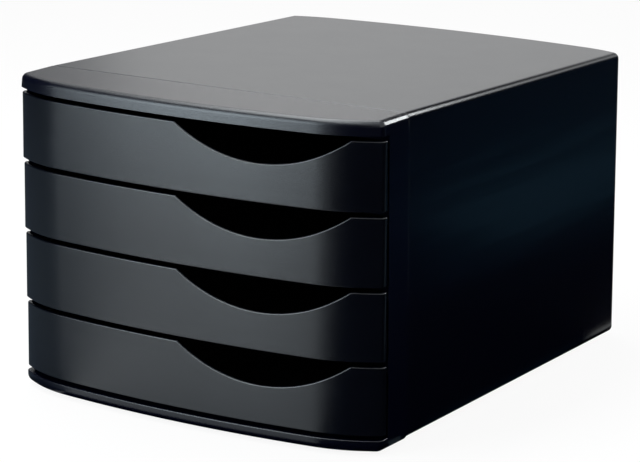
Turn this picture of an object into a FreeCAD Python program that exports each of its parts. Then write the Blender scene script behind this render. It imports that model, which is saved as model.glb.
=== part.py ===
import FreeCAD, Part
import math
import os
import Sketcher

# Desktop drawer box with four bowed drawers, in millimetres.
# X runs across the front, Y from the front to the back and Z up.
# The origin is on the ground under the middle of the box.

V = FreeCAD.Vector
DRAWER_COUNT = 4
NO_TURN = FreeCAD.Rotation()
UPRIGHT = FreeCAD.Rotation(V(1, 0, 0), 90)
# Two coordinates that are no further apart than this are one place.
SAME_PLACE = 1e-4
# An edge stands when it rises by more than this share of its length.
STANDING_SHARE = 0.9

SIZES = {
    # Whole box. The bows are how far the middle stands out past the corners.
    "width": 286,
    "depth": 362,
    "front_bow": 22.4,
    "front_arc_radius": 850,
    "front_end_width": 43,
    "back_bow": 16.7,
    "back_arc_radius": 820,
    "back_end_width": 31,
    "corner_radius": 4.5,
    "inner_corner_radius": 1.5,
    "top_edge_radius": 4,
    "bottom_edge_radius": 3.2,
    # Front frame.
    "frame_depth": 30.8,
    "frame_wall": 3,
    "frame_proud": 1,
    "lid_height": 9.5,
    "base_height": 8.3,
    "lip_proud": 0.8,
    "column_setback": 6.6,
    "spigot_length": 8,
    "spigot_gap": 0.15,
    "cross_rail_height": 9.6,
    "cross_rail_depth": 8,
    "cross_rail_setback": 12,
    # Housing shell, drafted towards the back.
    "shell_wall": 2.4,
    "top_fall": 9,
    "side_taper": 3,
    # Drawer fronts and the gaps that show between them.
    "front_height": 45.2,
    "front_wall": 3,
    "front_inset": 0.2,
    "front_lean": 1,
    "front_return": 5.1,
    "drawer_gap": 3.4,
    "base_gap": 2.8,
    "lid_gap": 3.4,
    "scoop_width": 126,
    "scoop_depth": 20,
    "scoop_offset": 61.5,
    # Drawer trays.
    "tray_wall": 1.8,
    "tray_floor": 2,
    "tray_height": 36,
    "tray_lift": 1.5,
    "tray_front_height": 22,
    "tray_gap": 1,
    "clip_gap": 0.2,
    "ear_height": 6,
    "ear_length": 8,
    "ear_setback": 50,
    # Runners.
    "slide_gap": 0.2,
    "guide_wall": 1.6,
    "guide_gap": 0.5,
    "guide_height": 9,
    "ledge_width": 8,
    "ledge_thickness": 2.4,
    "stop_wall": 2,
    "stop_height": 14,
    "stop_gap": 0.3,
    "runner_back_gap": 4,
    "runner_front_gap": 0.3,
    # Feet.
    "foot_height": 3,
    "foot_radius": 7,
    "foot_draft": 0.8,
    "foot_side_inset": 18,
    "foot_end_inset": 16,
    # How far a cut runs past the face that it opens.
    "overrun": 5,
}

# Places worked out from the sizes.
LAYOUT = {
    "half": "Sizes.width / 2",
    "corner_y": "Sizes.lip_proud + Sizes.front_bow - Sizes.depth / 2",
    "apex_y": "corner_y - Sizes.front_bow",
    "seam_y": "corner_y + Sizes.frame_depth",
    "column_y": "corner_y + Sizes.column_setback",
    "back_y": "Sizes.depth / 2",
    "back_corner_y": "back_y - Sizes.back_bow",
    "back_share": "(back_y - seam_y) / (back_corner_y - seam_y)",
    "shell_half": "half - Sizes.frame_proud",
    "back_half": "shell_half - Sizes.side_taper",
    "front_joint_x": "half - Sizes.front_end_width",
    "front_sine": "front_joint_x / Sizes.front_arc_radius",
    "front_cosine": "sqrt(1 - front_sine ^ 2)",
    "front_joint_y": "apex_y + Sizes.front_arc_radius * (1 - front_cosine)",
    "front_rise": "corner_y - front_joint_y",
    "front_end_radius": "(Sizes.front_end_width ^ 2 + front_rise ^ 2)"
    " / (2 * (front_cosine * front_rise - front_sine * Sizes.front_end_width))",
    "front_centre_x": "front_joint_x - front_end_radius * front_sine",
    "front_centre_y": "front_joint_y + front_end_radius * front_cosine",
    "back_joint_x": "back_half - Sizes.back_end_width",
    "back_sine": "back_joint_x / Sizes.back_arc_radius",
    "back_cosine": "sqrt(1 - back_sine ^ 2)",
    "back_joint_y": "back_y - Sizes.back_arc_radius * (1 - back_cosine)",
    "back_rise": "back_joint_y - back_corner_y",
    "back_end_radius": "(Sizes.back_end_width ^ 2 + back_rise ^ 2)"
    " / (2 * (back_cosine * back_rise - back_sine * Sizes.back_end_width))",
    "back_centre_x": "back_joint_x - back_end_radius * back_sine",
    "back_centre_y": "back_joint_y - back_end_radius * back_cosine",
    "shell_bottom": "Sizes.foot_height",
    "base_bottom": "shell_bottom - Sizes.frame_proud",
    "base_top": "base_bottom + Sizes.base_height",
    "pitch": "Sizes.front_height + Sizes.drawer_gap",
    "first_front": "base_top + Sizes.base_gap",
    "last_front": f"first_front + {DRAWER_COUNT - 1} * pitch",
    "lid_bottom": "last_front + Sizes.front_height + Sizes.lid_gap",
    "lid_top": "lid_bottom + Sizes.lid_height",
    "shell_top": "lid_top",
    "tray_half": "back_half - Sizes.shell_wall - Sizes.guide_wall - Sizes.guide_gap",
    "opening_half": "tray_half + Sizes.tray_gap",
    "lead_in_y": "column_y + half - opening_half",
    "rail_y": "column_y + Sizes.cross_rail_setback",
    "rail_back_y": "rail_y + Sizes.cross_rail_depth",
    "spigot_share": "Sizes.spigot_length / (back_corner_y - seam_y)",
    "runner_y": "seam_y + Sizes.spigot_length + Sizes.runner_front_gap",
    "runner_back_y": "back_corner_y - Sizes.shell_wall - Sizes.runner_back_gap",
    "tray_back_y": "runner_back_y - Sizes.stop_wall - Sizes.stop_gap",
    "ear_y": "tray_back_y - Sizes.ear_setback",
    "travel": "ear_y - rail_back_y - Sizes.stop_gap",
}

doc = FreeCAD.newDocument("drawer_box")


def fill_sheet(name, cells, formula):
    """One sheet with a named cell for each size or formula."""
    sheet = doc.addObject("Spreadsheet::Sheet", name)
    for row, (alias, text) in enumerate(cells.items(), 1):
        sheet.set(f"A{row}", alias)
        sheet.set(f"B{row}", f"={text}" if formula else str(text))
        sheet.setAlias(f"B{row}", alias)
    doc.recompute()
    return sheet


sizes = fill_sheet("Sizes", SIZES, False)
layout = fill_sheet("Layout", LAYOUT, True)


def value(expression):
    """The number that an expression of the two sheets gives."""
    return float(sizes.evalExpression(expression))


def end_of(sketch, edge, point):
    """Which end of a sketch edge lies at a point."""
    gaps = [(sketch.getPoint(edge, end) - point).Length for end in (1, 2)]
    return 1 + gaps.index(min(gaps))


def draw(sketch, corners, radii):
    """Draws a closed outline, anticlockwise, with every corner and radius bound to the sheets.

    An edge with a radius is an arc that bulges outwards, and any other edge is straight.
    """
    points = [V(value(across), value(up), 0) for across, up in corners]
    following = points[1:] + points[:1]
    first = sketch.GeometryCount
    for edge, (start, end) in enumerate(zip(points, following)):
        chord = end - start
        if edge in radii:
            radius = value(radii[edge])
            bulge = radius - math.sqrt(radius**2 - chord.Length**2 / 4)
            outwards = V(chord.y, -chord.x, 0).normalize()
            shape = Part.Arc(start, (start + end) / 2 + outwards * bulge, end)
        else:
            shape = Part.LineSegment(start, end)
        sketch.addGeometry(shape, False)
    count = len(points)
    for edge in range(count):
        before = first + (edge - 1) % count
        here = first + edge
        joint = points[edge]
        ends = before, end_of(sketch, before, joint), here, end_of(sketch, here, joint)
        sketch.addConstraint(Sketcher.Constraint("Coincident", *ends))
    for edge, corner in enumerate(corners):
        here = first + edge
        end = end_of(sketch, here, points[edge])
        for kind, expression in zip(("DistanceX", "DistanceY"), corner):
            place = Sketcher.Constraint(kind, -1, 1, here, end, value(expression))
            number = sketch.addConstraint(place)
            sketch.setExpression(f"Constraints[{number}]", expression)
    for edge, expression in radii.items():
        arc = Sketcher.Constraint("Radius", first + edge, value(expression))
        number = sketch.addConstraint(arc)
        sketch.setExpression(f"Constraints[{number}]", expression)


def body_sketch(body, role, name, level, *outlines):
    """A sketch on one of the body's origin planes, at a level along that plane's normal."""
    plane = next(p for p in body.Origin.OriginFeatures if p.Role == role)
    sketch = body.newObject("Sketcher::SketchObject", name)
    sketch.AttachmentSupport = [(plane, "")]
    sketch.MapMode = "FlatFace"
    sketch.setExpression("AttachmentOffset.Base.z", level)
    for corners, radii in outlines:
        draw(sketch, corners, radii)
    return sketch


def plan(body, name, level, *outlines):
    """A sketch seen from above, at a height."""
    return body_sketch(body, "XY_Plane", name, level, *outlines)


def elevation(body, name, place, *outlines):
    """A sketch seen from the front, at a depth. Its normal points to the front."""
    return body_sketch(body, "XZ_Plane", name, f"-({place})", *outlines)


def add(body, sketch, length, backwards=False):
    """A pad, along the sketch's normal or against it."""
    pad = body.newObject("PartDesign::Pad", f"{sketch.Label}_pad")
    pad.Profile = sketch
    pad.Reversed = backwards
    pad.setExpression("Length", length)
    doc.recompute()
    return pad


def cut(body, sketch, length, backwards=False):
    """A pocket, against the sketch's normal or along it. It has to remove material."""
    doc.recompute()
    before = body.Shape.Volume
    pocket = body.newObject("PartDesign::Pocket", f"{sketch.Label}_pocket")
    pocket.Profile = sketch
    pocket.Reversed = backwards
    pocket.setExpression("Length", length)
    doc.recompute()
    if body.Shape.Volume >= before:
        raise RuntimeError(f"{pocket.Label} cut nothing")
    return pocket


def round_edges(body, name, radius, chosen):
    """A fillet on the edges of the body's last feature that pass a test."""
    base = body.Tip
    edges = [f"Edge{n}" for n, edge in enumerate(base.Shape.Edges, 1) if chosen(edge)]
    fillet = body.newObject("PartDesign::Fillet", name)
    fillet.Base = (base, edges)
    fillet.setExpression("Radius", radius)
    doc.recompute()
    return fillet


def new_body(label):
    """A body whose label names the piece."""
    body = doc.addObject("PartDesign::Body", label)
    body.Label = label
    return body


def rectangle(left, right, low, high):
    """Four straight edges."""
    return [(left, low), (right, low), (right, high), (left, high)], {}


def bowed_plan(inset, reach, corner, back):
    """A closed outline with a straight back and a bowed front, set in from the frame's outline.

    The front is one long arc, a tighter arc at each end and a rounded corner into each side.
    """
    joint_x = f"(Layout.front_joint_x - ({inset}) * Layout.front_sine)"
    joint_y = f"(Layout.front_joint_y + ({inset}) * Layout.front_cosine)"
    end_radius = f"(Layout.front_end_radius - ({inset}))"
    between = f"({end_radius} - {corner})"
    across = f"({reach} - {corner} - Layout.front_centre_x)"
    forward = f"sqrt({between} ^ 2 - {across} ^ 2)"
    side_y = f"(Layout.front_centre_y - {forward})"
    turn_x = f"(Layout.front_centre_x + {across} * {end_radius} / {between})"
    turn_y = f"(Layout.front_centre_y - {forward} * {end_radius} / {between})"
    right = [(joint_x, joint_y), (turn_x, turn_y), (f"({reach})", side_y), (f"({reach})", back)]
    left = [(f"-{x}", y) for x, y in reversed(right)]
    middle_radius = f"Sizes.front_arc_radius - ({inset})"
    radii = {1: corner, 2: end_radius, 3: middle_radius, 4: end_radius, 5: corner}
    return left + right, radii


def back_curve(inset, reach):
    """Corners and radii of the bowed back, from right to left, set in from the shell's outline."""
    joint_x = f"(Layout.back_joint_x - ({inset}) * Layout.back_sine)"
    joint_y = f"(Layout.back_joint_y - ({inset}) * Layout.back_cosine)"
    root = f"sqrt((Layout.back_end_radius - ({inset})) ^ 2 - ({reach} - Layout.back_centre_x) ^ 2)"
    end_y = f"(Layout.back_centre_y + {root})"
    corners = [(reach, end_y), (joint_x, joint_y), (f"-{joint_x}", joint_y), (f"-({reach})", end_y)]
    end_radius = f"Layout.back_end_radius - ({inset})"
    return corners, {0: end_radius, 1: f"Sizes.back_arc_radius - ({inset})", 2: end_radius}


def is_upright(edge):
    """True for an edge that stands, within the lean of the fronts."""
    start, end = edge.Vertexes[0].Point, edge.Vertexes[-1].Point
    return abs(end.z - start.z) > STANDING_SHARE * (end - start).Length


def is_at(place, expression):
    """True where a coordinate is at the place that an expression gives."""
    return abs(place - value(expression)) < SAME_PLACE


# Front frame: bowed lid and base, two columns and the cross rails between the drawers.


def rim_at(height):
    """A test for the front and side edges of the frame at one height."""

    def chosen(edge):
        box = edge.BoundBox
        level = is_at(box.ZMin, height) and is_at(box.ZMax, height)
        return level and box.YMin < value("Layout.seam_y - Sizes.overrun")

    return chosen


def make_front_frame():
    """The frame is one moulding that plugs into the mouth of the shell."""
    frame = new_body("front_frame")
    seam = "Layout.seam_y"
    half = "Layout.half"
    corner = "Sizes.corner_radius"
    lid = plan(frame, "lid_plan", "Layout.lid_bottom", bowed_plan("0", half, corner, seam))
    add(frame, lid, "Sizes.lid_height")
    lip = bowed_plan("-Sizes.lip_proud", half, corner, seam)
    base = plan(frame, "base_plan", "Layout.base_bottom", lip)
    add(frame, base, "Sizes.base_height")
    inside = "Layout.opening_half"
    column = [(inside, "Layout.lead_in_y"), (half, "Layout.column_y"), (half, seam), (inside, seam)]
    mirrored = [(f"-{across}", along) for across, along in reversed(column)]
    posts = plan(frame, "column_plan", "Layout.base_bottom", (column, {}), (mirrored, {}))
    add(frame, posts, "Layout.lid_top - Layout.base_bottom")
    round_edges(frame, "lid_rounding", "Sizes.top_edge_radius", rim_at("Layout.lid_top"))
    round_edges(frame, "base_rounding", "Sizes.bottom_edge_radius", rim_at("Layout.base_bottom"))
    hollows = {
        "lid": ("Layout.lid_bottom", "Sizes.frame_wall"),
        "base": ("Layout.base_bottom", "Sizes.frame_wall - Sizes.lip_proud"),
    }
    for name, (level, inset) in hollows.items():
        outline = bowed_plan(inset, inside, "Sizes.inner_corner_radius", f"{seam} - Sizes.frame_wall")
        hollow = plan(frame, f"{name}_hollow", level, outline)
        cut(frame, hollow, f"Sizes.{name}_height - Sizes.frame_wall", True)
    add_cross_rails(frame)
    add_spigot(frame)
    return frame


def add_cross_rails(frame):
    """Bars that carry the front of each tray and stop the ears of the tray below."""
    reach = "(Layout.opening_half + Sizes.frame_wall)"
    for number in range(DRAWER_COUNT + 1):
        front = f"(Layout.first_front + {number} * Layout.pitch)"
        top = f"({front} + Sizes.tray_lift - Sizes.slide_gap)"
        bottom = f"({top} - Sizes.cross_rail_height)"
        if number == 0:
            bottom = "(Layout.base_top - Sizes.frame_wall)"
        if number == DRAWER_COUNT:
            top = "(Layout.lid_top - Sizes.frame_wall)"
        bar = rectangle(f"-{reach}", reach, "Layout.rail_y", "Layout.rail_back_y")
        add(frame, plan(frame, f"cross_rail_{number}", bottom, bar), f"{top} - {bottom}")


def add_spigot(frame):
    """A ring behind the seam that plugs into the drafted mouth of the shell."""
    clear = "Sizes.shell_wall + Sizes.spigot_gap"
    reach = f"(Layout.shell_half - Sizes.side_taper * Layout.spigot_share - ({clear}))"
    top = f"(Layout.shell_top - Sizes.top_fall * Layout.spigot_share - ({clear}))"
    outside = rectangle(f"-{reach}", reach, f"Layout.shell_bottom + {clear}", top)
    opening = "Layout.opening_half"
    inside = rectangle(f"-{opening}", opening, "Layout.base_top", "Layout.lid_bottom")
    section = elevation(frame, "spigot_section", "Layout.seam_y", outside, inside)
    add(frame, section, "Sizes.spigot_length", True)


# Housing shell: a drafted box, open at the front, with a bowed back.


def free_sketch(name, rotation, outline):
    """A sketch that stands by itself in the document."""
    sketch = doc.addObject("Sketcher::SketchObject", name)
    sketch.Placement = FreeCAD.Placement(V(), rotation)
    draw(sketch, *outline)
    return sketch


def shell_section(name, place, share, inset):
    """The shell's outline seen from the front, at a depth and a share of its draft."""
    reach = f"(Layout.shell_half - Sizes.side_taper * {share} - {inset})"
    top = f"(Layout.shell_top - Sizes.top_fall * {share} - {inset})"
    bottom = f"(Layout.shell_bottom + {inset})"
    sketch = free_sketch(name, UPRIGHT, rectangle(f"-{reach}", reach, bottom, top))
    sketch.setExpression("Placement.Base.y", place)
    return sketch


def shell_solid(name, inset):
    """The shell's outer solid, or the hollow inside it where the inset is its wall."""
    front = shell_section(f"{name}_front", "Layout.seam_y", "0", inset)
    back = shell_section(f"{name}_back", "Layout.back_y", "Layout.back_share", inset)
    loft = doc.addObject("Part::Loft", f"{name}_loft")
    loft.Sections = [front, back]
    loft.Solid = True
    loft.Ruled = True
    reach = "(Layout.back_half + Sizes.overrun)"
    start = "(Layout.seam_y - Sizes.overrun)"
    corners, radii = back_curve(inset, reach)
    outline = [(f"-{reach}", start), (reach, start)] + corners
    radii = {edge + 2: radius for edge, radius in radii.items()}
    block = doc.addObject("Part::Extrusion", f"{name}_block")
    block.Base = free_sketch(f"{name}_plan", NO_TURN, (outline, radii))
    block.DirMode = "Normal"
    block.Solid = True
    block.setExpression("LengthFwd", "Layout.lid_top")
    solid = doc.addObject("Part::Common", name)
    solid.Base = loft
    solid.Tool = block
    doc.recompute()
    return solid


def shell_radius(edge):
    """The rounding of one edge of the shell's outer solid, or zero for an edge that stays sharp."""
    middle = edge.CenterOfMass
    if middle.y < value("Layout.seam_y") + SAME_PLACE:
        return 0
    if is_upright(edge):
        outer = abs(middle.x) > value("Layout.back_joint_x + Sizes.back_end_width / 2")
        return value("Sizes.corner_radius") if outer else 0
    if is_at(middle.z, "Layout.shell_bottom"):
        return value("Sizes.bottom_edge_radius")
    return value("Sizes.top_edge_radius")


def make_housing_shell():
    """Top, sides, floor and bowed back in one deep moulding."""
    outer = shell_solid("shell_outside", "0")
    inner = shell_solid("shell_inside", "Sizes.shell_wall")
    radii = {number: shell_radius(edge) for number, edge in enumerate(outer.Shape.Edges, 1)}
    rounded = doc.addObject("Part::Fillet", "shell_rounded")
    rounded.Base = outer
    rounded.Edges = [(number, radius, radius) for number, radius in radii.items() if radius]
    shell = doc.addObject("Part::Cut", "housing_shell")
    shell.Label = "housing_shell"
    shell.Base = rounded
    shell.Tool = inner
    doc.recompute()
    return shell


# Drawer fronts: bowed plates that lean back towards the top, with a finger scoop.


def front_level(number):
    """Height of a front's lower edge. Drawer 1 is at the top."""
    return f"(Layout.first_front + {DRAWER_COUNT - number} * Layout.pitch)"


def leaning_plan(inset):
    """Plan of a whole front at one height, before it is hollowed from behind."""
    back = "Layout.corner_y + Sizes.front_return"
    return bowed_plan(inset, "Layout.half", "Sizes.corner_radius", back)


def make_drawer_front(number):
    """One bowed front with returns at its ends."""
    level = front_level(number)
    top_level = f"{level} + Sizes.front_height"
    front = new_body(f"drawer_front_{number}")
    low = plan(front, "low_plan", level, leaning_plan("Sizes.front_inset"))
    high = plan(front, "high_plan", top_level, leaning_plan("Sizes.front_inset + Sizes.front_lean"))
    loft = front.newObject("PartDesign::AdditiveLoft", "leaning_block")
    loft.Profile = low
    loft.Sections = [high]
    loft.Ruled = True
    doc.recompute()
    inside = "Sizes.front_inset + Sizes.front_wall"
    reach = "Layout.half - Sizes.front_wall"
    behind = "Layout.corner_y + Sizes.front_return + Sizes.overrun"
    inner = bowed_plan(inside, reach, "Sizes.inner_corner_radius", behind)
    hollow = plan(front, "hollow_plan", level, inner)
    cut(front, hollow, "Sizes.front_height", True)
    cut(front, scoop_section(front, level, "Layout.apex_y - Sizes.overrun"), "Sizes.depth / 2")
    return front


def scoop_section(body, level, place):
    """The finger scoop seen from the front: one arc below an open top."""
    top = f"({level} + Sizes.front_height)"
    left = "(Sizes.scoop_offset - Sizes.scoop_width / 2)"
    right = "(Sizes.scoop_offset + Sizes.scoop_width / 2)"
    over = f"({top} + Sizes.overrun)"
    radius = "((Sizes.scoop_width ^ 2 / 4 + Sizes.scoop_depth ^ 2) / (2 * Sizes.scoop_depth))"
    corners = [(left, top), (right, top), (right, over), (left, over)]
    return elevation(body, "scoop_section", place, (corners, {0: radius}))


# Drawer trays: a floor, two sides with stop ears, a back and a low bowed front wall.


def make_drawer_tray(number):
    """One tray, carried on the runners and on the frame's cross rail."""
    bottom = f"({front_level(number)} + Sizes.tray_lift)"
    tray = new_body(f"drawer_tray_{number}")
    inset = "(Sizes.front_inset + Sizes.front_wall + Sizes.clip_gap)"
    half = "Layout.tray_half"
    back = "Layout.tray_back_y"
    corner = "Sizes.inner_corner_radius"
    outline = plan(tray, "tray_plan", bottom, bowed_plan(inset, half, corner, back))
    add(tray, outline, "Sizes.tray_height")
    wall = "Sizes.tray_wall"
    inner = bowed_plan(f"{inset} + {wall}", f"({half} - {wall})", corner, f"{back} - {wall}")
    hollow = plan(tray, "hollow_plan", f"{bottom} + Sizes.tray_floor", inner)
    cut(tray, hollow, "Sizes.tray_height", True)
    low_top = f"{bottom} + Sizes.tray_front_height"
    opening = rectangle(
        f"-({half} + Sizes.overrun)",
        f"{half} + Sizes.overrun",
        "Layout.apex_y - Sizes.overrun",
        "Layout.column_y",
    )
    cut(tray, plan(tray, "low_front", low_top, opening), "Sizes.tray_height", True)
    ear_end = "Layout.ear_y + Sizes.ear_length"
    ears = [
        rectangle(f"{half} - {wall}", half, "Layout.ear_y", ear_end),
        rectangle(f"-{half}", f"-({half} - {wall})", "Layout.ear_y", ear_end),
    ]
    ear_plan = plan(tray, "ear_plan", f"{bottom} + Sizes.tray_floor", *ears)
    add(tray, ear_plan, "Sizes.tray_height + Sizes.ear_height - Sizes.tray_floor")
    return tray


# Runners: a ledge under the tray's side, an upright guide beside it and a stop behind it.


def wall_x(place):
    """How far out the inside of the shell's side lies, at a depth."""
    share = f"({place} - Layout.seam_y) / (Layout.back_corner_y - Layout.seam_y)"
    return f"(Layout.shell_half - Sizes.shell_wall - Sizes.side_taper * {share})"


def make_runner(side, number):
    """One runner, seated on the inside of the shell's side."""
    runner = new_body(f"{side}_runner_{number}")
    front, back = "Layout.runner_y", "Layout.runner_back_y"
    level = f"({front_level(number)} + Sizes.tray_lift - Sizes.slide_gap)"

    def strip(inner, start):
        """A strip from a line beside the tray to the shell's drafted side."""
        corners = [(inner, start), (wall_x(start), start), (wall_x(back), back), (inner, back)]
        if side == "left":
            corners = [(f"-{across}", along) for across, along in reversed(corners)]
        return corners, {}

    ledge_x = "(Layout.tray_half - Sizes.ledge_width)"
    guide_x = "(Layout.tray_half + Sizes.guide_gap)"
    thickness = "Sizes.ledge_thickness"
    ledge = plan(runner, "ledge_plan", f"{level} - {thickness}", strip(ledge_x, front))
    add(runner, ledge, thickness)
    guide = plan(runner, "guide_plan", f"{level} - {thickness}", strip(guide_x, front))
    add(runner, guide, f"{thickness} + Sizes.guide_height")
    stop_y = "(Layout.runner_back_y - Sizes.stop_wall)"
    stop = plan(runner, "stop_plan", f"{level} - {thickness}", strip(ledge_x, stop_y))
    add(runner, stop, f"{thickness} + Sizes.stop_height")
    return runner


# Feet: four rubber pads under the corners of the shell.


def make_foot(end, side):
    """One pad, a little wider at the top."""
    foot = doc.addObject("Part::Cone", f"foot_{end}_{side}")
    foot.Label = f"foot_{end}_{side}"
    sign = "" if side == "right" else "-"
    foot.setExpression("Radius1", "Sizes.foot_radius - Sizes.foot_draft")
    foot.setExpression("Radius2", "Sizes.foot_radius")
    foot.setExpression("Height", "Sizes.foot_height")
    foot.setExpression("Placement.Base.x", f"{sign}(Layout.back_half - Sizes.foot_side_inset)")
    place = "Layout.seam_y + Sizes.foot_end_inset"
    if end == "rear":
        place = "Layout.back_corner_y - Sizes.foot_end_inset"
    foot.setExpression("Placement.Base.y", place)
    return foot


numbers = range(1, DRAWER_COUNT + 1)
sides = ("left", "right")
pieces = [make_housing_shell(), make_front_frame()]
pieces += [make_drawer_front(number) for number in numbers]
pieces += [make_drawer_tray(number) for number in numbers]
pieces += [make_runner(side, number) for side in sides for number in numbers]
pieces += [make_foot(end, side) for end in ("front", "rear") for side in sides]

doc.recompute()
for item in doc.Objects:
    if "Invalid" in item.State or "Error" in item.State:
        raise RuntimeError(f"{item.Label} did not recompute")
for piece in pieces:
    if piece.Shape.isNull() or not piece.Shape.isValid() or len(piece.Shape.Solids) != 1:
        raise RuntimeError(f"{piece.Label} is not one valid solid")

os.makedirs("parts", exist_ok=True)
for piece in pieces:
    piece.Shape.exportStep(f"parts/{piece.Label}.step")
    print(piece.Label, round(piece.Shape.Volume), "mm3")
print("drawer travel", round(value("Layout.travel"), 2), "mm")
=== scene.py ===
import math

import bmesh
import bpy
from mathutils import Matrix, Quaternion, Vector


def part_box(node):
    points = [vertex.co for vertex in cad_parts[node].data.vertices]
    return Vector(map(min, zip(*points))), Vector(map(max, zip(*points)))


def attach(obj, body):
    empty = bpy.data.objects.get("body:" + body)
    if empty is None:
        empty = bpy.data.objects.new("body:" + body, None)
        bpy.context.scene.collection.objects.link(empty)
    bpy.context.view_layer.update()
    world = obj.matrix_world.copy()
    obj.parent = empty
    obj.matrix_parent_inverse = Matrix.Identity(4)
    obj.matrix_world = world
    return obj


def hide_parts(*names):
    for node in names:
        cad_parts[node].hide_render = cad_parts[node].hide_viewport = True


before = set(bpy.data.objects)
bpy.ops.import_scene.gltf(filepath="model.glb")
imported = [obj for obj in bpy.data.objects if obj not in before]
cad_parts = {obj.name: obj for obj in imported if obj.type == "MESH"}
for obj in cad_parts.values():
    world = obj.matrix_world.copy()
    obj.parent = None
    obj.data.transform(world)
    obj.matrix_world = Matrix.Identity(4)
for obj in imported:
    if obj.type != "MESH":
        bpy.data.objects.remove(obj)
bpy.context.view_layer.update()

# Housing shell
# One deep moulding of black polystyrene: top, sides, floor and a bowed back, open at the front. Its
# walls draw in towards the back, so that it leaves its mould, and every outer edge is rounded.
shell_low, shell_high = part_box("housing_shell")
shell_wall = 0.0024
shell_rounding = 0.0042
shell_side_taper = 0.003
shell_top_fall = 0.009
seam_rounding = 0.001
rim_cut_shares = (0.15, 0.35, 0.65, 1)
corner_radius = 0.0045
back_bow_depth = 0.0167
back_arc_radius = 0.820
back_end_width = 0.031
back_half = shell_high.x - shell_side_taper
back_corner_y = shell_high.y - back_bow_depth
outline_step = 0.0025

# Two places less than a hair apart count as the same.
hair = 1e-6


def make_bow(apex_y, depth, half, arc_radius, end_width, toward):
    """One long arc with a tighter arc at each end. It points to the front, -1, or the back, 1."""
    joint_x = half - end_width
    sine = joint_x / arc_radius
    cosine = math.sqrt(1 - sine**2)
    fall = depth - arc_radius * (1 - cosine)
    end_radius = (end_width**2 + fall**2) / (2 * (cosine * fall - sine * end_width))
    joint_y = apex_y - toward * arc_radius * (1 - cosine)
    return {
        "toward": toward,
        "apex_y": apex_y,
        "arc_radius": arc_radius,
        "arc_angle": math.asin(sine),
        "end_radius": end_radius,
        "end_x": joint_x - end_radius * sine,
        "end_y": joint_y - toward * end_radius * cosine,
    }


def spin_vertex(mesh, vertex, centre_x, centre_y, angle, step, fewest_steps=4):
    """Draws an arc of edges from a vertex and returns its other end."""
    centre = Vector((centre_x, centre_y, vertex.co.z))
    length = abs(angle) * (vertex.co - centre).length
    swept = bmesh.ops.spin(
        mesh,
        geom=[vertex],
        cent=centre,
        axis=(0, 0, 1),
        angle=angle,
        steps=max(fewest_steps, round(length / step)),
    )
    return next(part for part in swept["geom_last"] if isinstance(part, bmesh.types.BMVert))


def draw_bow(mesh, bow, inset, reach, corner, side_end, height, step=outline_step):
    """Edges of a whole bow, set in by a distance, with a corner and a straight run at each side."""
    toward = bow["toward"]
    vertex = bmesh.ops.create_vert(mesh, co=(0, bow["apex_y"] - toward * inset, height))["vert"][0]
    arc_y = bow["apex_y"] - toward * bow["arc_radius"]
    vertex = spin_vertex(mesh, vertex, 0, arc_y, -toward * bow["arc_angle"], step)
    between = bow["end_radius"] - inset - corner
    end_angle = math.asin((reach - corner - bow["end_x"]) / between)
    turn = end_angle - bow["arc_angle"]
    vertex = spin_vertex(mesh, vertex, bow["end_x"], bow["end_y"], -toward * turn, step)
    if corner:
        centre_x = bow["end_x"] + between * math.sin(end_angle)
        centre_y = bow["end_y"] + toward * between * math.cos(end_angle)
        turn = math.pi / 2 - end_angle
        corner_step = step / 5
        vertex = spin_vertex(mesh, vertex, centre_x, centre_y, -toward * turn, corner_step)
    run = bmesh.ops.extrude_vert_indiv(mesh, verts=[vertex])["verts"][0]
    run.co = side_end
    bmesh.ops.mirror(mesh, geom=mesh.verts[:] + mesh.edges[:], axis="X", merge_dist=hair)


def raise_edges(mesh, edges, height):
    """Extrudes some edges straight up into walls and returns the new top vertices."""
    raised = bmesh.ops.extrude_edge_only(mesh, edges=edges)["geom"]
    top = [part for part in raised if isinstance(part, bmesh.types.BMVert)]
    bmesh.ops.translate(mesh, verts=top, vec=(0, 0, height))
    return top


def close_loop(mesh, vertices):
    """Fills the loop that some vertices form, after joining its two open ends."""
    chosen = set(vertices)
    edges = [edge for edge in mesh.edges if chosen.issuperset(edge.verts)]
    ends = [v for v in vertices if sum(edge in edges for edge in v.link_edges) == 1]
    if ends:
        edges += bmesh.ops.contextual_create(mesh, geom=ends)["edges"]
    bmesh.ops.edgeloop_fill(mesh, edges=edges)


def face_outwards(mesh):
    """Turns every face so that it points out of the solid."""
    bmesh.ops.recalc_face_normals(mesh, faces=mesh.faces[:])


def sharp_edges(mesh, angle=40):
    """Edges between two faces that meet at more than an angle, in degrees."""
    return [
        edge
        for edge in mesh.edges
        if len(edge.link_faces) == 2 and edge.calc_face_angle() > math.radians(angle)
    ]


def round_over(mesh, edges, radius, segments=6):
    """Rounds some edges."""
    bmesh.ops.bevel(
        mesh,
        geom=edges,
        offset=radius,
        segments=segments,
        profile=0.5,
        affect="EDGES",
        material=-1,
        clamp_overlap=True,
    )


def cut_across(mesh, place, direction):
    """Adds edges where a plane crosses the mesh."""
    parts = mesh.verts[:] + mesh.edges[:] + mesh.faces[:]
    bmesh.ops.bisect_plane(mesh, geom=parts, plane_co=place, plane_no=direction)


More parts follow.
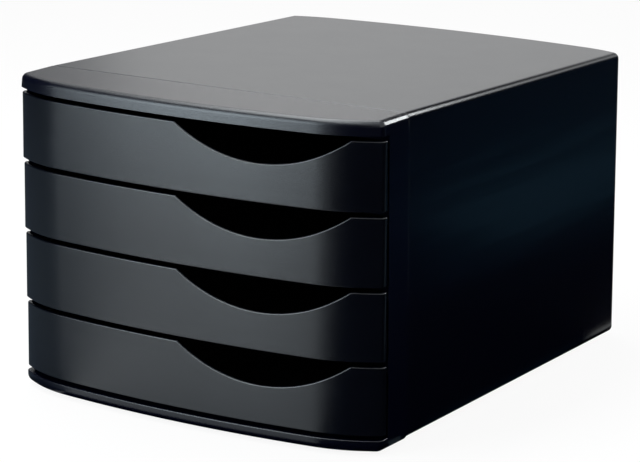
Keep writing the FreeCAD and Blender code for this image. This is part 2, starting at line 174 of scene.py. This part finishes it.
def round_rim(mesh, place_y, radius, toward):
    """Rounds the outer edge of a rim across the box. The piece lies to one side of it, -1 or 1."""
    for share in rim_cut_shares:
        cut_across(mesh, (0, place_y + toward * radius * share, 0), (0, 1, 0))
    face_outwards(mesh)
    mesh.normal_update()
    middle_z = sum(vertex.co.z for vertex in mesh.verts) / len(mesh.verts)
    moves = []
    for vertex in mesh.verts:
        reach = radius - abs(vertex.co.y - place_y)
        outwards = Vector((vertex.co.x, 0, vertex.co.z - middle_z))
        aside = Vector((vertex.normal.x, 0, vertex.normal.z))
        centres = [face.calc_center_median().y for face in vertex.link_faces]
        beyond = any((centre - place_y) * toward < -radius / 2 for centre in centres)
        if reach > 0 and aside.dot(outwards) > 0 and not beyond:
            inwards = aside.normalized() * (math.sqrt(radius**2 - reach**2) - radius)
            moves.append((vertex, inwards))
    for vertex, inwards in moves:
        vertex.co += inwards


def make_object(name, mesh):
    """Turns a finished mesh into an object of the scene."""
    data = bpy.data.meshes.new(name)
    mesh.to_mesh(data)
    mesh.free()
    made = bpy.data.objects.new(name, data)
    bpy.context.scene.collection.objects.link(made)
    return made


def make_piece(name, mesh, material, body, slot, *nodes):
    """Makes a smooth-shaded piece that rides on a body and replaces its nodes."""
    face_outwards(mesh)
    for face in mesh.faces:
        face.smooth = True
    piece = make_object(name, mesh)
    piece.data.set_sharp_from_angle(angle=math.radians(35))
    piece.data.materials.append(material)
    weighted = piece.modifiers.new("weighted_normals", "WEIGHTED_NORMAL")
    weighted.keep_sharp = True
    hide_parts(*nodes)
    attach(piece, body)


def add_node(tree, kind, inputs, **settings):
    """Adds a shader node. An input is a value, or the output of another node."""
    node = tree.nodes.new(f"ShaderNode{kind}")
    for setting, choice in settings.items():
        setattr(node, setting, choice)
    for name, source in inputs.items():
        if isinstance(source, bpy.types.NodeSocket):
            tree.links.new(source, node.inputs[name])
        else:
            node.inputs[name].default_value = source
    return node.outputs


def new_material(name):
    """An empty material, with its node tree and the inputs of its shader."""
    material = bpy.data.materials.new(name)
    material.use_nodes = True
    tree = material.node_tree
    return material, tree, tree.nodes["Principled BSDF"].inputs


def tint(tree, mottle, colour, dark_share, light_share):
    """A colour that a mottle makes a little darker or lighter."""
    darker = [channel * dark_share for channel in colour] + [1]
    lighter = [channel * light_share for channel in colour] + [1]
    inputs = {"Factor": mottle, "A": darker, "B": lighter}
    return add_node(tree, "Mix", inputs, data_type="RGBA")["Result"]


def plastic(name, colour, ior, grained_roughness, polished_roughness, polished_from, grain_depth):
    """Black polystyrene. Its sides are polished, and other faces have the grain of an etched mould.

    A face is polished where its normal leans to either side by more than a share.
    """
    polished_over = 0.2
    ripple_depth = 0.0006
    material, tree, shader = new_material(name)
    shader["IOR"].default_value = ior
    shader["Specular Tint"].default_value = (0.9, 0.97, 1.0, 1.0)
    place = add_node(tree, "TexCoord", {})["Object"]
    normal = add_node(tree, "NewGeometry", {})["Normal"]
    sideways = add_node(tree, "SeparateXYZ", {"Vector": normal})["X"]
    lean = add_node(tree, "Math", {0: sideways}, operation="ABSOLUTE")["Value"]
    ramp = {"Value": lean, "From Min": polished_from, "From Max": polished_from + polished_over}
    polished = add_node(tree, "MapRange", ramp)["Result"]

    mottle = add_node(tree, "TexNoise", {"Vector": place, "Scale": 45.0, "Detail": 5.0})["Fac"]
    tree.links.new(tint(tree, mottle, colour, 0.8, 1.2), shader["Base Color"])

    rough = {"Value": polished, "To Min": grained_roughness, "To Max": polished_roughness}
    finish = add_node(tree, "MapRange", rough)["Result"]
    patches = {"Value": mottle, "To Min": 0.96, "To Max": 1.04}
    patchy = add_node(tree, "MapRange", patches)["Result"]
    rough = add_node(tree, "Math", {0: finish, 1: patchy}, operation="MULTIPLY")["Value"]
    tree.links.new(rough, shader["Roughness"])

    grain = add_node(tree, "TexNoise", {"Vector": place, "Scale": 1700.0, "Detail": 3.0})["Fac"]
    faded = add_node(tree, "MapRange", {"Value": polished, "To Min": 1.0, "To Max": 0.04})["Result"]
    etched = add_node(tree, "Math", {0: grain, 1: faded}, operation="MULTIPLY")["Value"]
    fine = add_node(tree, "Bump", {"Height": etched, "Distance": grain_depth})["Normal"]
    stretched = add_node(tree, "Mapping", {"Vector": place, "Scale": (8.0, 3.0, 40.0)})["Vector"]
    ripple = add_node(tree, "TexNoise", {"Vector": stretched, "Scale": 1.0, "Detail": 2.0})["Fac"]
    sunk = add_node(tree, "Math", {0: ripple, 1: polished}, operation="MULTIPLY")["Value"]
    waves = {"Height": sunk, "Distance": ripple_depth, "Normal": fine}
    wavy = add_node(tree, "Bump", waves)["Normal"]
    tree.links.new(wavy, shader["Normal"])
    return material


shell_plastic = plastic(
    "housing_plastic",
    colour=(0.0002, 0.0005, 0.0035),
    ior=1.59,
    grained_roughness=0.3,
    polished_roughness=0.2,
    polished_from=0.3,
    grain_depth=0.00003,
)
back_bow = make_bow(shell_high.y, back_bow_depth, back_half, back_arc_radius, back_end_width, 1)
shell = bmesh.new()
mouth_corner = (shell_high.x, shell_low.y, shell_low.z)
draw_bow(shell, back_bow, 0, back_half, corner_radius, mouth_corner, shell_low.z)
floor_vertices = shell.verts[:]
top_vertices = raise_edges(shell, shell.edges[:], shell_high.z - shell_low.z)
for vertex in top_vertices:
    share = (vertex.co.y - shell_low.y) / (back_corner_y - shell_low.y)
    vertex.co.z -= shell_top_fall * share
close_loop(shell, floor_vertices)
close_loop(shell, top_vertices)
face_outwards(shell)
round_over(shell, sharp_edges(shell), shell_rounding)
bmesh.ops.solidify(shell, geom=shell.faces[:], thickness=shell_wall)
round_rim(shell, shell_low.y, seam_rounding, 1)
name = "housing_shell_moulding"
make_piece(name, shell, shell_plastic, "housing", "housing_plastic", "housing_shell")

# Front frame
# A second moulding of black polystyrene, which plugs into the mouth of the shell: a bowed lid and
# base, two posts set back behind the ends of the drawer fronts, and bars between the drawers.
frame_low, frame_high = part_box("front_frame")
frame_wall = 0.003
lid_height = 0.0095
lid_draft = 0.0008
lid_rounding = 0.0042
base_height = 0.0083
base_rounding = 0.0055
base_corner = 0.006
lip_proud = 0.0008
lip_rounding = 0.0006
inner_corner = 0.0015
front_bow_depth = 0.0224
front_arc_radius = 0.850
front_end_width = 0.043
post_setback = 0.0066
tray_clear = 0.001
rail_setback = 0.012
rail_depth = 0.008
rail_height = 0.0096
rail_slant = 0.004
slide_gap = 0.0002
spigot_gap = 0.00015
apex_y = frame_low.y + lip_proud
corner_y = apex_y + front_bow_depth
front_bow = make_bow(apex_y, front_bow_depth, frame_high.x, front_arc_radius, front_end_width, -1)
seam_y = shell_low.y
post_y = corner_y + post_setback
opening_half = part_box("drawer_tray_1")[1].x + tray_clear


def edges_at(mesh, axis, place):
    """Edges that lie at one place along an axis, x, y or z."""
    return [
        edge
        for edge in mesh.edges
        if all(abs(getattr(vertex.co, axis) - place) < hair for vertex in edge.verts)
    ]


def close_back(mesh, back_y):
    """Makes the straight wall between the two upright edges at the back."""
    uprights = edges_at(mesh, "y", back_y)
    bmesh.ops.contextual_create(mesh, geom=[vertex for edge in uprights for vertex in edge.verts])


def bowed_block(inset, reach, corner, back_y, low, high, draft=0.0):
    """A block with the bowed front, between two heights. Its draft draws in the upper outline."""
    mesh = bmesh.new()
    draw_bow(mesh, front_bow, inset, reach, corner, (reach, back_y, low), low)
    below = mesh.verts[:]
    above = raise_edges(mesh, mesh.edges[:], high - low)
    face_outwards(mesh)
    mesh.normal_update()
    for vertex in above:
        outwards = vertex.normal.dot(vertex.co - Vector((0, back_y, high)))
        vertex.co -= vertex.normal * math.copysign(draft, outwards)
    close_back(mesh, back_y)
    close_loop(mesh, below)
    close_loop(mesh, above)
    face_outwards(mesh)
    return mesh


def rim_edges(mesh, height, back_y):
    """Edges at a height, other than the straight one at the back."""
    back = edges_at(mesh, "y", back_y)
    return [edge for edge in edges_at(mesh, "z", height) if edge not in back]


def bar(low, high):
    """A straight bar between two corners."""
    mesh = bmesh.new()
    size = Vector(high) - Vector(low)
    middle = (Vector(high) + Vector(low)) / 2
    matrix = Matrix.Translation(middle) @ Matrix.Diagonal((*size, 1))
    bmesh.ops.create_cube(mesh, size=1, matrix=matrix)
    return mesh


def combine(first, *steps):
    """Adds solids to the first one, or takes them away from it, in turn."""
    solids = [make_object("solid", mesh) for mesh in [first] + [mesh for _, mesh in steps]]
    for (operation, _), tool in zip(steps, solids[1:]):
        step = solids[0].modifiers.new(operation, "BOOLEAN")
        step.operation = operation
        step.solver = "EXACT"
        step.object = tool
    joined = bmesh.new()
    joined.from_object(solids[0], bpy.context.evaluated_depsgraph_get())
    for solid in solids:
        bpy.data.objects.remove(solid)
    bmesh.ops.dissolve_degenerate(joined, dist=2 * hair, edges=joined.edges[:])
    return joined


frame_plastic = plastic(
    "frame_plastic",
    colour=(0.0002, 0.0005, 0.0045),
    ior=1.54,
    grained_roughness=0.24,
    polished_roughness=0.2,
    polished_from=0.55,
    grain_depth=0.00013,
)
lid_bottom = frame_high.z - lid_height
base_top = frame_low.z + base_height
lid_corner = corner_radius + lid_draft
lid = bowed_block(0, frame_high.x, lid_corner, seam_y, lid_bottom, frame_high.z, lid_draft)
round_over(lid, rim_edges(lid, frame_high.z, seam_y), lid_rounding)
base = bowed_block(-lip_proud, frame_high.x, base_corner, seam_y, frame_low.z, base_top)
round_over(base, rim_edges(base, frame_low.z, seam_y), base_rounding)
round_over(base, rim_edges(base, base_top, seam_y), lip_rounding, 3)
steps = [("UNION", base)]

# Each post's front face slants back from its outer edge towards the opening.
for side in (-1, 1):
    low = (side * opening_half, post_y, base_top - frame_wall / 2)
    post = bar(low, (side * frame_high.x, seam_y, lid_bottom))
    for vertex in post.verts:
        if abs(vertex.co.x) < frame_high.x - frame_wall and vertex.co.y < seam_y - frame_wall:
            vertex.co.y += frame_high.x - opening_half
    steps.append(("UNION", post))

# The lid and the base are hollow, and open underneath.
hollow = (opening_half, inner_corner, seam_y - frame_wall)
lid_hollow = bowed_block(frame_wall, *hollow, lid_bottom - frame_wall, frame_high.z - frame_wall)
base_hollow = bowed_block(frame_wall - lip_proud, *hollow, 0, base_top - frame_wall)
steps += [("DIFFERENCE", lid_hollow), ("DIFFERENCE", base_hollow)]

# A bar lies under each tray, and one over the top tray. Their lower front edges are set back.
rail_y = post_y + rail_setback
rail_half = opening_half + frame_wall
tray_lows = [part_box(f"drawer_tray_{number}")[0].z for number in (4, 3, 2, 1)]
pitch = tray_lows[1] - tray_lows[0]
for low in tray_lows + [tray_lows[-1] + pitch]:
    top = low - slide_gap
    bottom = max(top - rail_height, base_top - frame_wall)
    top = min(top, frame_high.z - frame_wall)
    rail = bar((-rail_half, rail_y, bottom), (rail_half, rail_y + rail_depth, top))
    for vertex in rail.verts:
        if vertex.co.y < rail_y + rail_depth / 2 and vertex.co.z < (bottom + top) / 2:
            vertex.co.y += rail_slant
    steps.append(("UNION", rail))

# The spigot is a sleeve that follows the shell's taper, just inside its walls.
spigot_clear = shell_wall + spigot_gap
spigot_share = (frame_high.y - seam_y) / (back_corner_y - seam_y)
spigot_half = shell_high.x - shell_side_taper * spigot_share - spigot_clear
spigot_top = shell_high.z - shell_top_fall * spigot_share - spigot_clear
spigot_low = (-spigot_half, seam_y - frame_wall / 2, shell_low.z + spigot_clear)
spigot = bar(spigot_low, (spigot_half, frame_high.y, spigot_top))
mouth_low = (-opening_half, seam_y - frame_wall, base_top)
mouth = bar(mouth_low, (opening_half, frame_high.y + frame_wall, lid_bottom))
steps.append(("UNION", combine(spigot, ("DIFFERENCE", mouth))))
frame_solid = combine(lid, *steps)
round_rim(frame_solid, seam_y, seam_rounding, -1)
name = "front_frame_moulding"
make_piece(name, frame_solid, frame_plastic, "housing", "frame_plastic", "front_frame")

# Drawer fronts
# Four bowed plates of black polystyrene, which clip to the front of the trays. Each leans back a
# little towards its top, and turns back along the sides at its ends. A round scoop in its top edge
# is for the fingers.
front_wall = 0.003
front_inset = 0.0002
front_lean = 0.001
front_edge_rounding = 0.0009
front_outline_step = 0.002
scoop_width = 0.126
scoop_depth = 0.020
scoop_x = 0.0615
scoop_radius = (scoop_width**2 / 4 + scoop_depth**2) / (2 * scoop_depth)
front_plastic = plastic(
    "drawer_front_plastic",
    colour=(0.0006, 0.0011, 0.0035),
    ior=1.59,
    grained_roughness=0.22,
    polished_roughness=0.2,
    polished_from=0.7,
    grain_depth=0.00013,
)


def thicken(mesh, wall, rounding, segments):
    """Gives a sheet its wall on the inside, and rounds the edges of the rim."""
    face_outwards(mesh)
    bmesh.ops.solidify(mesh, geom=mesh.faces[:], thickness=wall)
    face_outwards(mesh)
    round_over(mesh, sharp_edges(mesh, angle=60), rounding, segments)


def make_front(number):
    """One drawer front: a bowed wall whose top edge dips to the scoop, then given its thickness."""
    node = f"drawer_front_{number}"
    low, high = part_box(node)
    mesh = bmesh.new()
    back_end = (high.x, high.y, low.z)
    plan = (front_inset, high.x, corner_radius, back_end, low.z)
    draw_bow(mesh, front_bow, *plan, step=front_outline_step)
    top = raise_edges(mesh, mesh.edges[:], high.z - low.z)
    leaning = [vertex for vertex in top if vertex.co.y < high.y - hair]
    bmesh.ops.translate(mesh, verts=leaning, vec=(0, front_lean, 0))
    for side in (-1, 1):
        cut_across(mesh, (scoop_x + side * scoop_width / 2, 0, 0), (1, 0, 0))
    centre_z = high.z - scoop_depth + scoop_radius
    for vertex in mesh.verts:
        across = vertex.co.x - scoop_x
        if vertex.co.z > high.z - hair and abs(across) < scoop_width / 2:
            vertex.co.z = centre_z - math.sqrt(scoop_radius**2 - across**2)
    thicken(mesh, front_wall, front_edge_rounding, 3)
    name = f"drawer_front_{number}_plate"
    make_piece(name, mesh, front_plastic, f"drawer_{number}", "drawer_front_plastic", node)


for number in range(1, 5):
    make_front(number)

# Drawer trays
# Four plain drawers of black polystyrene: a floor, two sides, a back and a low bowed front wall
# behind the drawer front. A small ear on each side stops the drawer at the frame's bars when it is
# pulled out.
tray_wall = 0.0018
clip_gap = 0.0002
low_front_height = 0.022
ear_height = 0.006
ear_length = 0.008
ear_setback = 0.050
tray_corner = 0.003
tray_floor_rounding = 0.0024
tray_rim_rounding = 0.0005
tray_inset = front_inset + front_wall + clip_gap
tray_plastic = plastic(
    "tray_plastic",
    colour=(0.010, 0.011, 0.013),
    ior=1.59,
    grained_roughness=0.38,
    polished_roughness=0.3,
    polished_from=0.7,
    grain_depth=0.00003,
)


def make_tray(number):
    """One tray, raised from its outline. Its wall is lower at the front and higher at the ears."""
    node = f"drawer_tray_{number}"
    low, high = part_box(node)
    side_top = high.z - ear_height
    mesh = bmesh.new()
    back_side = (high.x, high.y, low.z)
    draw_bow(mesh, front_bow, tray_inset, high.x, tray_corner, back_side, low.z)
    outline = mesh.verts[:]
    raise_edges(mesh, mesh.edges[:], side_top - low.z)
    close_back(mesh, high.y)
    close_loop(mesh, outline)
    face_outwards(mesh)
    round_over(mesh, sharp_edges(mesh), tray_floor_rounding, 4)

    step_z = low.z + low_front_height
    cut_across(mesh, (0, post_y, 0), (0, 1, 0))
    cut_across(mesh, (0, 0, step_z), (0, 0, 1))
    removed = [
        face
        for face in mesh.faces
        if face.calc_center_median().y < post_y and face.calc_center_median().z > step_z
    ]
    bmesh.ops.delete(mesh, geom=removed, context="FACES")

    ear_front = high.y - ear_setback
    ear_back = ear_front + ear_length
    for place in (ear_front, ear_back):
        cut_across(mesh, (0, place, 0), (0, 1, 0))
    ears = [
        edge
        for edge in edges_at(mesh, "z", side_top)
        if all(ear_front - hair < vertex.co.y < ear_back + hair for vertex in edge.verts)
    ]
    raise_edges(mesh, ears, ear_height)
    thicken(mesh, tray_wall, tray_rim_rounding, 2)
    name = f"drawer_tray_{number}_moulding"
    make_piece(name, mesh, tray_plastic, f"drawer_{number}", "tray_plastic", node)


for number in range(1, 5):
    make_tray(number)

# Runners
# Eight ledges of black polystyrene on the inside of the housing, each with an upright guide beside
# the tray and a stop behind it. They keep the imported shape, in a plastic a little duller than the
# trays'.
runner_plastic = plastic(
    "runner_plastic",
    colour=(0.010, 0.011, 0.013),
    ior=1.59,
    grained_roughness=0.4,
    polished_roughness=0.34,
    polished_from=0.7,
    grain_depth=0.00003,
)
for side in ("left", "right"):
    for number in range(1, 5):
        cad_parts[f"{side}_runner_{number}"].material_slots[0].material = runner_plastic

# Feet
# Four pads of black rubber under the corners of the housing, a little wider where they are stuck
# on, with a rounded lower edge and a shallow dish that grips the table.
foot_taper = 0.0008
foot_rounding = 0.0007
dish_wall = 0.0016
dish_depth = 0.0005


def rubber(name, colour):
    """Matt black rubber with a fine, soft grain."""
    material, tree, shader = new_material(name)
    place = add_node(tree, "TexCoord", {})["Object"]
    dust = add_node(tree, "TexNoise", {"Vector": place, "Scale": 260.0, "Detail": 4.0})["Fac"]
    tree.links.new(tint(tree, dust, colour, 0.7, 1.3), shader["Base Color"])
    worn = add_node(tree, "MapRange", {"Value": dust, "To Min": 0.7, "To Max": 0.9})["Result"]
    tree.links.new(worn, shader["Roughness"])
    grain = add_node(tree, "TexNoise", {"Vector": place, "Scale": 2400.0, "Detail": 3.0})["Fac"]
    skin = add_node(tree, "Bump", {"Height": grain, "Distance": 0.00005})["Normal"]
    tree.links.new(skin, shader["Normal"])
    return material


foot_rubber = rubber("foot_rubber", (0.012, 0.012, 0.013))
for end in ("front", "rear"):
    for side in ("left", "right"):
        node = f"foot_{end}_{side}"
        low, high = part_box(node)
        radius = (high.x - low.x) / 2
        foot = bmesh.new()
        bmesh.ops.create_cone(
            foot,
            cap_ends=True,
            segments=48,
            radius1=radius - foot_taper,
            radius2=radius,
            depth=high.z - low.z,
            matrix=Matrix.Translation((low + high) / 2),
        )
        sole = min(foot.faces, key=lambda face: face.calc_center_median().z)
        bmesh.ops.inset_region(foot, faces=[sole], thickness=dish_wall)
        bmesh.ops.inset_region(foot, faces=[sole], thickness=dish_depth, depth=-dish_depth)
        sharp = sharp_edges(foot, angle=45)
        outside = [edge for edge in edges_at(foot, "z", low.z) if edge.is_convex and edge in sharp]
        round_over(foot, outside, foot_rounding, 3)
        make_piece(f"{node}_pad", foot, foot_rubber, "housing", "foot_rubber", node)

# Studio
# A plain pale floor and a white surround, a wide soft lamp at the front left, two overhead and a
# narrow strip behind. Cards and screens that only reflections see darken and tint what the plastic
# mirrors.
scene = bpy.context.scene
scene.view_settings.view_transform = "Standard"
floor_half = 20
floor_paint = (0.95, 0.95, 0.95)
floor_glow = 0.91


def see_background(tree):
    """Gives 1 to rays that should see the background: the camera's, mirrored and passed-on ones."""
    ray = add_node(tree, "LightPath", {})
    seen = ray["Is Camera Ray"]
    for kind in ("Is Glossy Ray", "Is Transmission Ray"):
        seen = add_node(tree, "Math", {0: seen, 1: ray[kind]}, operation="MAXIMUM")["Value"]
    return seen


def stage_sheet(name, mesh, colour, glow=0.0):
    """A sheet of painted board. Its glow is white that only the background's rays see."""
    paint, tree, board = new_material(name)
    board["Base Color"].default_value = (*colour, 1)
    board["Roughness"].default_value = 0.9
    board["Specular IOR Level"].default_value = 0.0
    if glow:
        white = add_node(tree, "Emission", {"Strength": 1.0})["Emission"]
        seen = {0: see_background(tree), 1: glow}
        share = add_node(tree, "Math", seen, operation="MULTIPLY")["Value"]
        painted = tree.nodes["Principled BSDF"].outputs["BSDF"]
        mixed = add_node(tree, "MixShader", {0: share, 1: painted, 2: white})["Shader"]
        tree.links.new(mixed, tree.nodes["Material Output"].inputs["Surface"])
    sheet = make_object(name, mesh)
    sheet.data.materials.append(paint)
    return sheet


def reflect_only(sheet):
    """Hides a sheet from everything but reflections."""
    sheet.visible_camera = False
    sheet.visible_diffuse = False
    sheet.visible_transmission = False
    sheet.visible_shadow = False


def outline_card(name, colour, margin, lift):
    """A card on the floor that follows the outline of the box at a margin."""
    mesh = bmesh.new()
    reach = frame_high.x + margin
    back_end = (reach, shell_high.y + margin, lift)
    draw_bow(mesh, front_bow, -margin, reach, corner_radius, back_end, lift)
    close_loop(mesh, mesh.verts[:])
    reflect_only(stage_sheet(name, mesh, colour))


def straight_card(name, colour, low, high):
    """A straight card on the floor, between two corners."""
    mesh = bmesh.new()
    size = (Vector(high) - Vector(low)) / 2
    middle = (Vector(high) + Vector(low)) / 2
    matrix = Matrix.Translation((*middle, card_lift)) @ Matrix.Diagonal((*size, 1, 1))
    bmesh.ops.create_grid(mesh, size=1, matrix=matrix)
    reflect_only(stage_sheet(name, mesh, colour))


def curved_screen(name, corner, colour, turn, heights, radius=2.5, on_floor=True):
    """A screen curved about a corner of the box. On the floor, a board lies between the two.

    It turns between two directions, in degrees to the right of the front.
    """
    start, end = (math.radians(direction) for direction in turn)
    low, high = heights
    mesh = bmesh.new()
    foot = bmesh.ops.create_vert(mesh, co=(*corner, low))["vert"][0]
    if on_floor:
        foot = bmesh.ops.extrude_vert_indiv(mesh, verts=[foot])["verts"][0]
    foot.co += Vector((math.sin(start), -math.cos(start), 0)) * radius
    top = bmesh.ops.extrude_vert_indiv(mesh, verts=[foot])["verts"][0]
    top.co.z = high
    parts = mesh.verts[:] + mesh.edges[:]
    centre = (*corner, low)
    bmesh.ops.spin(mesh, geom=parts, cent=centre, axis=(0, 0, 1), angle=end - start, steps=24)
    bmesh.ops.remove_doubles(mesh, verts=mesh.verts[:], dist=10 * hair)
    reflect_only(stage_sheet(name, mesh, colour))


floor_mesh = bmesh.new()
bmesh.ops.create_grid(floor_mesh, size=floor_half)
stage_sheet("floor", floor_mesh, floor_paint, floor_glow)

board_lift = 0.002
card_lift = 0.003
side_heights = (board_lift, 0.75)
right_corner = (0.105, -0.17)
left_corner = (-0.1, -0.178)
black = (0.001, 0.001, 0.001)
pale_grey = (0.8, 0.8, 0.8)
grey = (0.5, 0.5, 0.5)
blue_grey = (0.15, 0.2, 0.23)
dark_grey = (0.1, 0.12, 0.13)
dark_blue = (0.065, 0.082, 0.1)
deep_blue = (0.03, 0.075, 0.11)
charcoal = (0.02, 0.026, 0.03)
deep_teal = (0.007, 0.022, 0.035)
blue_black = (0.001, 0.004, 0.01)

# Two cards that only reflections see paint the box's shadow on the floor into what the plastic
# mirrors: a black rim of painted contact shadow close around the box, and a pale grey stretch of
# painted floor shade around that.
outline_card("painted_floor_shade_card", pale_grey, margin=0.3, lift=0.0005)
outline_card("painted_contact_shadow_card", black, margin=0.006, lift=0.001)
curved_screen("front_right_screen", right_corner, black, turn=(-14, 38), heights=(board_lift, 2.6))
curved_screen("right_screen", right_corner, black, turn=(38, 124), heights=(board_lift, 0.72))
curved_screen("grey_strip", right_corner, blue_grey, turn=(124, 136), heights=side_heights)
curved_screen("back_right_screen", right_corner, blue_black, turn=(136, 151), heights=side_heights)
curved_screen("rear_screen", right_corner, deep_teal, turn=(151, 172), heights=side_heights)
curved_screen(
    "high_back_screen",
    right_corner,
    black,
    turn=(168, 206),
    heights=(1.25, 3.2),
    on_floor=False,
)
curved_screen("left_screen", left_corner, charcoal, turn=(-118, -45), heights=(board_lift, 3.0))
curved_screen("back_left_screen", left_corner, grey, turn=(-143.5, -118), heights=(board_lift, 1.2))
straight_card("near_side_card", black, low=(0.15, -0.15), high=(0.31, 0.9))
straight_card("side_strip", deep_blue, low=(0.33, 0.36), high=(0.43, 0.94))
straight_card("left_blue_card", dark_blue, low=(-1.2, -0.178), high=(-0.146, 0.3))
curved_screen(
    "left_grey_card",
    left_corner,
    dark_grey,
    turn=(-90, -45),
    heights=(card_lift, 0.004),
    radius=1.3,
)

world = bpy.data.worlds.new("studio")
scene.world = world
world.use_nodes = True
surround = world.node_tree
white_share = {"Value": see_background(surround), "To Min": 0.45, "To Max": 1.0}
level = add_node(surround, "MapRange", white_share)["Result"]
surround.links.new(level, surround.nodes["Background"].inputs["Strength"])
surround.nodes["Background"].inputs["Color"].default_value = (1, 1, 1, 1)


def softbox(name, place, target, size, brightness, colour=(1, 1, 1), roll=0):
    """A rectangular lamp that faces a point, with the brightness that its face shows."""
    width, height = size
    light = bpy.data.lights.new(name, "AREA")
    light.color = colour
    light.shape = "RECTANGLE"
    light.size = width
    light.size_y = height
    light.energy = brightness * math.pi * width * height
    lamp = bpy.data.objects.new(name, light)
    lamp.location = place
    aim = (Vector(target) - Vector(place)).to_track_quat("-Z", "Y")
    lamp.rotation_euler = (aim @ Quaternion((0, 0, 1), math.radians(roll))).to_euler()
    scene.collection.objects.link(lamp)


softbox(
    "front_left_softbox",
    place=(-0.68, -1.27, 0.5),
    target=(0, -0.16, 0.12),
    size=(0.76, 0.95),
    brightness=6.2,
    colour=(0.86, 0.94, 1.0),
)
softbox(
    "overhead_softbox",
    place=(-0.42, 0.1, 1.3),
    target=(0, 0.1, 0),
    size=(1.3, 0.6),
    brightness=5.1,
)
softbox(
    "front_overhead_softbox",
    place=(-0.04, -0.52, 1.3),
    target=(0, -0.3, 0),
    size=(0.4, 0.4),
    brightness=4.0,
)
softbox(
    "back_strip",
    place=(0.491, 0.608, 0.558),
    target=(0.143, -0.11, 0.213),
    size=(0.45, 0.036),
    brightness=38.0,
    roll=51,
)

image_width = 640
focal_pixels = 2889.64
camera_pitch = math.radians(14.39)
camera_yaw = math.radians(33.11)
camera_data = bpy.data.cameras.new("camera")
camera_data.sensor_width = 36
camera_data.lens = focal_pixels / image_width * camera_data.sensor_width
camera = bpy.data.objects.new("camera", camera_data)
camera.location = (1.0596, -1.6355, 0.5936)
camera.rotation_euler = (math.pi / 2 - camera_pitch, 0, camera_yaw)
scene.collection.objects.link(camera)
scene.camera = camera
